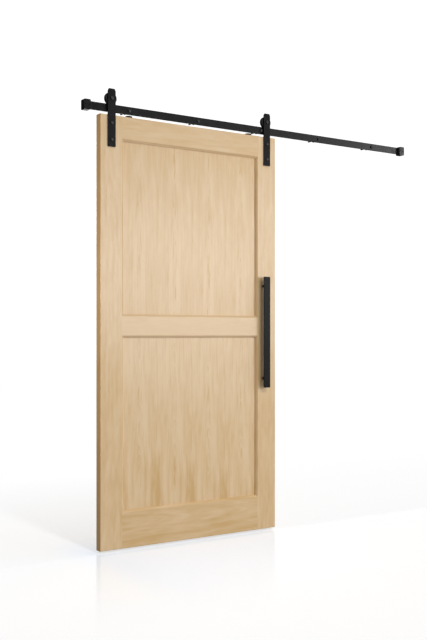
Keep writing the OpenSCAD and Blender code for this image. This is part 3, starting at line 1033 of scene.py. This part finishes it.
class BARNDOOR_OT_straps(bpy.types.Operator):
    """Make the two flat hanger straps, with clipped tops and holes for bolts and axle."""

    bl_idname = "barn_door.straps"
    bl_label = "Hanger straps"

    def execute(self, context):
        clip_w, clip_h = STRAP_CLIP
        for node in ("left_strap", "right_strap"):
            low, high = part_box(node)
            middle = (low.x + high.x) / 2
            obj = outlined(f"{node}_plate", [Vector((x, low.y, z)) for x, z in (
                (low.x, low.z), (high.x, low.z), (high.x, high.z - clip_h),
                (high.x - clip_w, high.z), (low.x + clip_w, high.z), (low.x, high.z - clip_h),
            )])
            with edit_mode(obj, "VERT", "SELECT"):
                bpy.ops.mesh.edge_face_add()
                bpy.ops.mesh.extrude_region_move(
                    TRANSFORM_OT_translate={"value": (0, high.y - low.y, 0)}
                )
                bpy.ops.mesh.select_all(action="SELECT")
                bpy.ops.mesh.normals_make_consistent(inside=False)
            for corner, width in (
                (high.z, STRAP_TOP), (high.z - clip_h, STRAP_SHOULDERS), (low.z, STRAP_FOOT),
            ):
                with edit_mode(obj, "EDGE"):
                    pick_edges(
                        obj, lambda a, b: abs(a.y - b.y) > MM and abs(a.z - corner) < 0.1 * MM
                    )
                    bpy.ops.mesh.bevel(offset=width, segments=6, affect="EDGES")
            for bolts, radius in (("strap_bolts", STRAP_BOLT), ("axle_bolts", AXLE)):
                near = [f for f in fronts_of(bolts) if abs(f.x - middle) < (high.x - low.x) / 2]
                holes = [Vector((f.x, low.y, f.z)) for f in near]
                bored(obj, holes, radius, high.y - low.y)
            coated(obj, node)
        return {"FINISHED"}


def bolt(name, node, across, head, radius, threads, pitch):
    """A node's first bolt: a hexagon head, and a shank that ends in a thread and a chamfer."""
    front, length = fronts_of(node)[0], depth_of(node)
    top = hexagon(name, front, across, head)
    root = radius - 0.6 * pitch
    plain = length - threads
    shank = turned("Shank", front, [
        (0, head - MM), (radius, head - MM), (radius, plain - pitch), (root, plain),
        (root, length - 0.4 * MM), (root - 0.4 * MM, length), (0, length),
    ], steps=48)
    ridge = thread_ridge(
        "Thread", front, plain - pitch, length - 0.2 * MM, radius - CREST_PLAY, root, pitch
    )
    return smoothed(joined(name, [top, shank, ridge]))


def fastened(where, radius, head, threads, pitch, chamfer):
    """Make the bolts, washers and nuts of one place: where is how their names begin."""
    across, head_height = head
    nut_height = depth_of(f"{where}_nuts")
    first = bolt(
        f"{where}_bolts_set", f"{where}_bolts", across, head_height, radius,
        threads=threads * nut_height, pitch=pitch,
    )
    all_stood_for(first, f"{where}_bolts", black_bolts())
    first = first_ring(f"{where}_washer_set", f"{where}_washers", radius, chamfer)
    all_stood_for(first, f"{where}_washers", black_bolts())
    first = hexagon(
        f"{where}_nut_set", fronts_of(f"{where}_nuts")[0], across, nut_height, bore=radius
    )
    all_stood_for(first, f"{where}_nuts", black_bolts())


class BARNDOOR_OT_strap_bolts(bpy.types.Operator):
    """Make the bolts through straps and stiles, with their washers and nuts."""

    bl_idname = "barn_door.strap_bolts"
    bl_label = "Strap bolts"

    def execute(self, context):
        fastened("strap", STRAP_BOLT, STRAP_HEAD, threads=2, pitch=1.25 * MM, chamfer=0.25 * MM)
        return {"FINISHED"}


class BARNDOOR_OT_axles(bpy.types.Operator):
    """Make the axle bolts with their bushes, washers and nuts."""

    bl_idname = "barn_door.axles"
    bl_label = "Axles"

    def execute(self, context):
        fastened("axle", AXLE, AXLE_HEAD, threads=1.5, pitch=1.5 * MM, chamfer=0.3 * MM)
        bushes = []
        for i, (low, high) in enumerate(solids_of("axle_bushes")):
            outer, length = (high.x - low.x) / 2, high.y - low.y
            bushes.append(ring(f"bush_{i}", front_of(low, high), outer, AXLE, length, 0.4 * MM))
        stood_for(joined("turned_bushes", bushes), "axle_bushes", bearing_steel())
        return {"FINISHED"}


# ---------- the wheels ----------

# Wheels: radius and half width of the groove's floor, how far its flanks spread, the hollow in
# each side as (inner radius, outer radius, depth), and the bearing's seat with its lip
GROOVE_FLOOR = 27 * MM
GROOVE_HALF = 4 * MM
FLANGE_SLOPE = 1.25 * MM
RIM_CHAMFER = 1 * MM
WEB = (16 * MM, 23 * MM, 2 * MM)
SEAT = 13 * MM
SEAT_LIP = 11 * MM
SEAT_DEPTH = 4 * MM
# Bearings: thickness of the outer ring, radius of the shields' holes and their depth under the
# face, and the race as (radius of the balls' path, radius of its section)
OUTER_WALL = 2.2 * MM
SHIELD_INNER = 7.15 * MM
SHIELD_SUNK = 0.35 * MM
RACE = (8.9 * MM, 2.4 * MM)


def raced(obj, front, width):
    """Cut the groove that the balls run in, half way along a bearing ring."""
    path, radius = RACE
    bpy.ops.object.select_all(action="DESELECT")
    bpy.ops.mesh.primitive_torus_add(
        location=front + ALONG_Y * width / 2, rotation=(math.pi / 2, 0, 0),
        major_radius=path, minor_radius=radius, major_segments=96, minor_segments=24,
    )
    return smoothed(shaped(obj, placed("Race"), "DIFFERENCE"))


class BARNDOOR_OT_wheels(bpy.types.Operator):
    """Make the grooved nylon wheels, turned and with softened rims."""

    bl_idname = "barn_door.wheels"
    bl_label = "Wheels"

    def execute(self, context):
        web_inner, web_outer, sunk = WEB
        for node in ("left_wheel", "right_wheel"):
            low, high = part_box(node)
            centre = (low + high) / 2
            half, rim = (high.y - low.y) / 2, (high.z - low.z) / 2
            profile = [
                (SEAT_LIP, -half), (web_inner, -half), (web_inner + sunk / 4, sunk - half),
                (web_outer - sunk / 4, sunk - half), (web_outer, -half), (rim - RIM_CHAMFER, -half),
                (rim, RIM_CHAMFER - half), (rim, -GROOVE_HALF - FLANGE_SLOPE),
                (GROOVE_FLOOR, -GROOVE_HALF), (GROOVE_FLOOR, GROOVE_HALF),
                (rim, GROOVE_HALF + FLANGE_SLOPE), (rim, half - RIM_CHAMFER),
                (rim - RIM_CHAMFER, half), (web_outer, half), (web_outer - sunk / 4, half - sunk),
                (web_inner + sunk / 4, half - sunk), (web_inner, half), (SEAT, half),
                (SEAT, -SEAT_DEPTH), (SEAT_LIP, -SEAT_DEPTH), (SEAT_LIP, -half),
            ]
            obj = turned(f"{node}_grooved", centre, profile, steps=96)
            eased(obj, 0.35 * MM, segments=2)
            stood_for(obj, node, black_nylon())
        return {"FINISHED"}


class BARNDOOR_OT_bearings(bpy.types.Operator):
    """Make the bearings: inner and outer rings and pressed shields over the balls."""

    bl_idname = "barn_door.bearings"
    bl_label = "Bearings"

    def execute(self, context):
        node = "bearing_inner_rings"
        first = first_ring("inner_rings", node, AXLE, 0.3 * MM)
        raced(first, fronts_of(node)[0], depth_of(node))
        all_stood_for(first, node, bearing_steel())
        for side in ("left", "right"):
            node = f"{side}_bearing_ring"
            low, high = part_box(node)
            front = front_of(low, high)
            width, outer = high.y - low.y, (high.x - low.x) / 2
            bore = outer - OUTER_WALL
            obj = raced(
                ring(f"{side}_outer_ring", front, outer, bore, width, 0.4 * MM), front, width
            )
            stood_for(obj, node, bearing_steel())
            painted(f"{side}_bearing_balls", bearing_steel())
            shields = []
            for turn, start in ((1, SHIELD_SUNK), (-1, width - SHIELD_SUNK)):
                profile = [(r, start + turn * a) for r, a in (
                    (SHIELD_INNER, 0), (bore - 0.8 * MM, 0), (bore - 0.4 * MM, 0.25 * MM),
                    (bore, 0.25 * MM), (bore, 0.5 * MM), (bore - 0.5 * MM, 0.5 * MM),
                    (bore - 0.9 * MM, 0.25 * MM), (SHIELD_INNER, 0.25 * MM), (SHIELD_INNER, 0),
                )]
                shields.append(turned("Shield", front, profile))
            cover = joined(f"{side}_bearing_shields", shields)
            cover.data.materials.append(bearing_steel())
            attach(cover, BODY_OF[node])
        return {"FINISHED"}


# ---------- the anti-jump discs ----------

# Discs: rim chamfer. Screws: radius, radius of the sunk head, and the cross slot as (length,
# width, depth)
DISC_EDGE = 1.5 * MM
DISC_SCREW = 2.5 * MM
SINK_RADIUS = 5 * MM
CROSS = (5 * MM, 1 * MM, 1.5 * MM)


class BARNDOOR_OT_anti_jump_discs(bpy.types.Operator):
    """Make the nylon discs on the leaf's top edge, and the countersunk screws that hold them."""

    bl_idname = "barn_door.anti_jump_discs"
    bl_label = "Anti-jump discs"

    def execute(self, context):
        boxes = solids_of("anti_jump_discs")
        bases = [Vector(((low.x + high.x) / 2, (low.y + high.y) / 2, low.z)) for low, high in boxes]
        low, high = boxes[0]
        radius, height = (high.x - low.x) / 2, high.z - low.z
        sink = SINK_RADIUS - DISC_SCREW
        first = turned("nylon_discs", bases[0], [
            (DISC_SCREW, 0), (radius - DISC_EDGE, 0), (radius, DISC_EDGE),
            (radius, height - DISC_EDGE), (radius - DISC_EDGE, height), (SINK_RADIUS, height),
            (DISC_SCREW, height - sink), (DISC_SCREW, 0),
        ], axis=ALONG_Z)
        eased(first, 0.4 * MM)
        stood_for(repeated("nylon_discs", first, bases[0], bases), "anti_jump_discs", black_nylon())

        low, high = solids_of("disc_screws")[0]
        length = high.z - low.z
        foot = Vector((bases[0].x, bases[0].y, low.z))
        screw = turned("countersunk_screws", foot, [
            (0, 0), (0.4 * MM, 0), (DISC_SCREW, 7 * MM), (DISC_SCREW, length - sink),
            (SINK_RADIUS - 0.1 * MM, length - 0.1 * MM), (SINK_RADIUS - 0.3 * MM, length),
            (0, length),
        ], axis=ALONG_Z)
        span, wide, deep = CROSS
        top = Vector((foot.x, foot.y, high.z))
        for x, y in ((span, wide), (wide, span)):
            reach = Vector((x / 2, y / 2, 0))
            slot = block("Slot", top - reach - ALONG_Z * deep, top + reach + ALONG_Z * MM)
            with edit_mode(slot, "FACE"):
                pick_faces(slot, lambda middle, normal: normal.z < -0.5)
                bpy.ops.mesh.inset(thickness=wide / 4, use_boundary=True)
                bpy.ops.transform.translate(value=(0, 0, -0.6 * MM))
            shaped(screw, slot, "DIFFERENCE")
        smoothed(screw)
        feet = [Vector((b.x, b.y, low.z)) for b in bases]
        stood_for(repeated("countersunk_screws", screw, foot, feet), "disc_screws", black_bolts())
        return {"FINISHED"}


# ---------- the handle ----------

# Handle: corner radius of the bar, radius of its bolts and depth of their holes, and the button
# heads' hexagon socket as (half its width across flats, depth), with their radius and height
HANDLE_ROUND = 4 * MM
HANDLE_BOLT = 3 * MM
HANDLE_TAP = 20 * MM
HANDLE_SOCKET = (2 * MM, 2.5 * MM)
BUTTON_RADIUS = 6 * MM
BUTTON_HEIGHT = 4 * MM


class BARNDOOR_OT_handle(bpy.types.Operator):
    """Make the flat bar handle, its stand-offs, and the bolts and washers behind the leaf."""

    bl_idname = "barn_door.handle"
    bl_label = "Handle"

    def execute(self, context):
        low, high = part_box("handle_bar")
        bar = block("flat_handle", low, high)
        with edit_mode(bar, "EDGE"):
            pick_edges(bar, lambda a, b: abs(a.y - b.y) > MM)
            bpy.ops.mesh.bevel(offset=HANDLE_ROUND, segments=8, affect="EDGES")
        bolts = fronts_of("handle_bolts")
        for front in bolts:
            shaped(bar, bar_y("Tap", front, HANDLE_BOLT, HANDLE_TAP), "DIFFERENCE")
        coated(bar, "handle_bar")

        for node in ("upper_standoff", "lower_standoff"):
            front, (low, high) = fronts_of(node)[0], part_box(node)
            outer, length = (high.x - low.x) / 2, depth_of(node)
            post = ring(f"{node}_post", front, outer, HANDLE_BOLT, length, 0.7 * MM)
            stood_for(post, node, black_steel())

        length = depth_of("handle_bolts")
        under = length - BUTTON_HEIGHT
        first = turned("handle_bolts_set", bolts[0], [
            (0, 0), (HANDLE_BOLT - 0.5 * MM, 0), (HANDLE_BOLT, 0.5 * MM), (HANDLE_BOLT, under),
            (BUTTON_RADIUS, under), (BUTTON_RADIUS, under + 0.8 * MM),
            (BUTTON_RADIUS - 0.6 * MM, under + 2.2 * MM),
            (BUTTON_RADIUS - 1.8 * MM, under + 3.4 * MM),
            (BUTTON_RADIUS - 3.2 * MM, length), (0, length),
        ])
        half_width, depth = HANDLE_SOCKET
        socketed(first, bolts[0] + ALONG_Y * (length - depth), half_width, depth + CUT_PAST)
        all_stood_for(first, "handle_bolts", black_bolts())
        first = first_ring("handle_washer_set", "handle_washers", HANDLE_BOLT, 0.25 * MM)
        all_stood_for(first, "handle_washers", black_bolts())
        return {"FINISHED"}


# ---------- the stage ----------

# Where the floor's painted blue tint, which cancels the warm light bounced from the wood, fades in
# and out
PAINTED_BOUNCE_TINT = (0.71, 0.82, 1.0, 1)
BOUNCE_TINT_LEFT = (-1.2, -0.95)
BOUNCE_TINT_RIGHT = (-0.1, 0.2)
BOUNCE_TINT_BEHIND = 0.4
# Where the floor in front of the leaf turns white
WHITE_AHEAD = (-3.0, -6.0)
WARM = (1.0, 0.85, 0.68)


def area_light(name, place, target, size, power, colour=(1, 1, 1)):
    """A soft rectangular light that looks at a point and isn't seen itself."""
    bpy.ops.object.select_all(action="DESELECT")
    turn = (Vector(target) - Vector(place)).to_track_quat("-Z", "Y").to_euler()
    bpy.ops.object.light_add(type="AREA", location=place, rotation=turn)
    lamp = bpy.context.active_object
    lamp.name = name
    lamp.data.shape = "RECTANGLE"
    lamp.data.size, lamp.data.size_y = size
    lamp.data.energy = power
    lamp.data.color = colour
    lamp.visible_camera = False
    return lamp


class BARNDOOR_OT_stage(bpy.types.Operator):
    """Lay the pale floor, and set up the room's light, the lamps and the camera."""

    bl_idname = "barn_door.stage"
    bl_label = "Floor, lights and camera"

    def execute(self, context):
        look = context.scene.barn_door_stage
        floor = self.lay_floor(look)
        self.light_room(context.scene, look)
        self.hang_lamps(floor, look)
        self.place_camera(context.scene, look)
        context.scene.view_settings.view_transform = "Standard"
        return {"FINISHED"}

    def lay_floor(self, look):
        """A pale floor: polished in front of the leaf; away from it, its lit colour gives way to a
        painted white glow, which fades out the leaf's real shadow behind it.
        """
        bpy.ops.object.select_all(action="DESELECT")
        bpy.ops.mesh.primitive_plane_add(
            size=60, location=(0, 0, CAD_BOX[0][2] - look.floor_gap)
        )
        floor = placed("floor")
        with edit_mode(floor, "FACE", "SELECT"):
            bpy.ops.mesh.subdivide(number_cuts=4)
        material, shader, sheet, (x, y, z) = new_finish("Pale floor")
        haze = sheet.cloud(x * 2, y * 2, z, detail=2.0)
        polish = (LEAF_LOW.y - y).eased_between(0.0, look.polish_reach)
        linked(shader, "Roughness", (haze - 0.5) * 0.05 + 0.5)
        ahead = y.maths("LESS_THAN", y, LEAF_LOW.y)
        linked(shader, "Coat Weight", ahead * (1 - polish) * 0.85)
        # Painted light: behind the leaf the base colour fades to black and a painted white glow
        # takes its place over shadow_reach, which fades the leaf's cast shadow out; far in front
        # the floor turns into the same even white glow
        far = y.node("ShaderNodeMapRange", {}, {"Value": y, "From Max": look.shadow_reach})
        start, end = WHITE_AHEAD
        far = far + y.node(
            "ShaderNodeMapRange", {}, {"Value": y, "From Min": start, "From Max": end}
        )
        # Painted light: near the leaf's front the floor gets a blue tint that cancels the warm
        # light bounced onto it from the wood
        bounce_tint_mask = (1 - polish) * (1 - (y - LEAF_HIGH.y).eased_between(0.0, BOUNCE_TINT_BEHIND))
        bounce_tint_mask = bounce_tint_mask * x.eased_between(*BOUNCE_TINT_LEFT) * (1 - x.eased_between(*BOUNCE_TINT_RIGHT))
        near = bounce_tint_mask.blend(opaque(look.floor_colour), PAINTED_BOUNCE_TINT)
        linked(shader, "Base Color", far.blend(near, (0, 0, 0, 1)))
        glow = far * (look.white - look.floor_lift) + look.floor_lift
        linked(shader, "Emission Color", glow.blend((0, 0, 0, 1), (1, 1, 1, 1)))
        fixed(
            shader, specular_ior_level=0.0, coat_roughness=0.12, coat_ior=1.28,
            emission_strength=1.0,
        )
        floor.data.materials.append(material)
        floor.visible_diffuse = False
        floor.visible_glossy = False
        return floor

    def light_room(self, scene, look):
        """Even light from all round, more of it from above and the right, and a white screen."""
        world = bpy.data.worlds.new("Studio")
        scene.world = world
        world.use_nodes = True
        sky = Wire(world.node_tree)
        right, behind, up = sky.node("ShaderNodeTexCoord", {}, {}, output="Generated").xyz()
        room = up.eased_between(-0.6, 0.7) * (look.sky - look.ground) + look.ground
        room = room * (right * look.from_right + 1)
        room = room * (1 - behind.eased_between(0.0, 0.5) * look.dim_behind)
        seen = sky.node("ShaderNodeLightPath", {}, {}, output="Is Camera Ray")
        mirrored = sky.node("ShaderNodeLightPath", {}, {}, output="Is Glossy Ray")
        screen = mirrored * behind.eased_between(0.3, 0.4) * right.eased_between(-0.1, 0.05)
        seen = seen + screen * up.eased_between(0.0, 0.03)
        backdrop = world.node_tree.nodes["Background"]
        backdrop.inputs["Color"].default_value = (1, 1, 1, 1)
        linked(backdrop, "Strength", seen * (look.backdrop - room) + room)

    def hang_lamps(self, floor, look):
        """The key light, three soft lights that miss the floor, and one for the track alone."""
        bpy.ops.object.select_all(action="DESELECT")
        bpy.ops.object.light_add(type="SUN", rotation=(math.radians(52), 0, 0))
        key = bpy.context.active_object
        key.name = "Key"
        key.data.energy = look.key
        key.data.angle = math.radians(6)
        mid = LEAF_MIDDLE
        soft_lights = (
            area_light(
                "Softbox", (1.7, -3.9, -0.4), (mid.x, mid.y, -0.8), (2.8, 1.6), look.softbox
            ),
            area_light(
                "Side light", (-2.6, 0.0, mid.z + 0.35), (mid.x, 0.0, mid.z), (0.5, 0.5),
                look.side, WARM,
            ),
            area_light("Back light", (mid.x + 1.0, 3.2, 0.2), mid, (2.0, 2.0), look.back),
        )
        floor_only = bpy.data.collections.new("Floor kept out of the soft lights")
        floor_only.objects.link(floor)
        floor_only.collection_objects[0].light_linking.link_state = "EXCLUDE"
        for lamp in soft_lights:
            lamp.light_linking.receiver_collection = floor_only
        track_only = bpy.data.collections.new("Lit by the track light")
        for name in ("flat_track", "end_stop_left_block", "end_stop_right_block"):
            track_only.objects.link(bpy.data.objects[name])
        lamp = area_light("Track light", (5.5, -3.9, 1.05), (0.6, -0.05, 0), (1.2, 0.6), look.track)
        lamp.light_linking.receiver_collection = track_only

    def place_camera(self, scene, look):
        """A level camera that looks past the leaf's left edge along the track."""
        bpy.ops.object.camera_add(location=look.eye, rotation=(math.pi / 2, 0, -look.turn))
        camera = bpy.context.active_object
        camera.data.sensor_fit = "VERTICAL"
        camera.data.sensor_height = 24
        camera.data.lens = look.lens
        camera.data.shift_y = look.rise
        scene.camera = camera


# ---------- the add-on ----------

STEPS = (
    BARNDOOR_OT_stiles, BARNDOOR_OT_rails, BARNDOOR_OT_panels, BARNDOOR_OT_dowels,
    BARNDOOR_OT_track, BARNDOOR_OT_spacers, BARNDOOR_OT_lag_bolts, BARNDOOR_OT_end_stops,
    BARNDOOR_OT_stop_screws, BARNDOOR_OT_bumpers, BARNDOOR_OT_straps, BARNDOOR_OT_strap_bolts,
    BARNDOOR_OT_axles, BARNDOOR_OT_wheels, BARNDOOR_OT_bearings, BARNDOOR_OT_anti_jump_discs,
    BARNDOOR_OT_handle, BARNDOOR_OT_stage,
)


class BARNDOOR_PT_sidebar(bpy.types.Panel):
    """The settings and the building steps, in the 3D view's sidebar."""

    bl_label = "Barn Door"
    bl_idname = "BARNDOOR_PT_sidebar"
    bl_space_type = "VIEW_3D"
    bl_region_type = "UI"
    bl_category = "Barn Door"

    def draw(self, context):
        for title, settings in (
            ("Wood", context.scene.barn_door_wood),
            ("Black fittings", context.scene.barn_door_steel),
            ("Stage", context.scene.barn_door_stage),
        ):
            box = self.layout.box()
            box.label(text=title)
            for name in settings.__annotations__:
                box.prop(settings, name)
        for step in STEPS:
            self.layout.operator(step.bl_idname)


CLASSES = (BarnDoorWood, BarnDoorSteel, BarnDoorStage, *STEPS, BARNDOOR_PT_sidebar)


def register():
    for cls in CLASSES:
        bpy.utils.register_class(cls)
    bpy.types.Scene.barn_door_wood = PointerProperty(type=BarnDoorWood)
    bpy.types.Scene.barn_door_steel = PointerProperty(type=BarnDoorSteel)
    bpy.types.Scene.barn_door_stage = PointerProperty(type=BarnDoorStage)


def unregister():
    del bpy.types.Scene.barn_door_stage
    del bpy.types.Scene.barn_door_steel
    del bpy.types.Scene.barn_door_wood
    for cls in reversed(CLASSES):
        bpy.utils.unregister_class(cls)


def main():
    """Build every piece in order."""
    register()
    door = bpy.ops.barn_door
    door.stiles()
    door.rails()
    door.panels()
    door.dowels()
    door.track()
    door.spacers()
    door.lag_bolts()
    door.end_stops()
    door.stop_screws()
    door.bumpers()
    door.straps()
    door.strap_bolts()
    door.axles()
    door.wheels()
    door.bearings()
    door.anti_jump_discs()
    door.handle()
    door.stage()


if __name__ == "__main__":
    main()
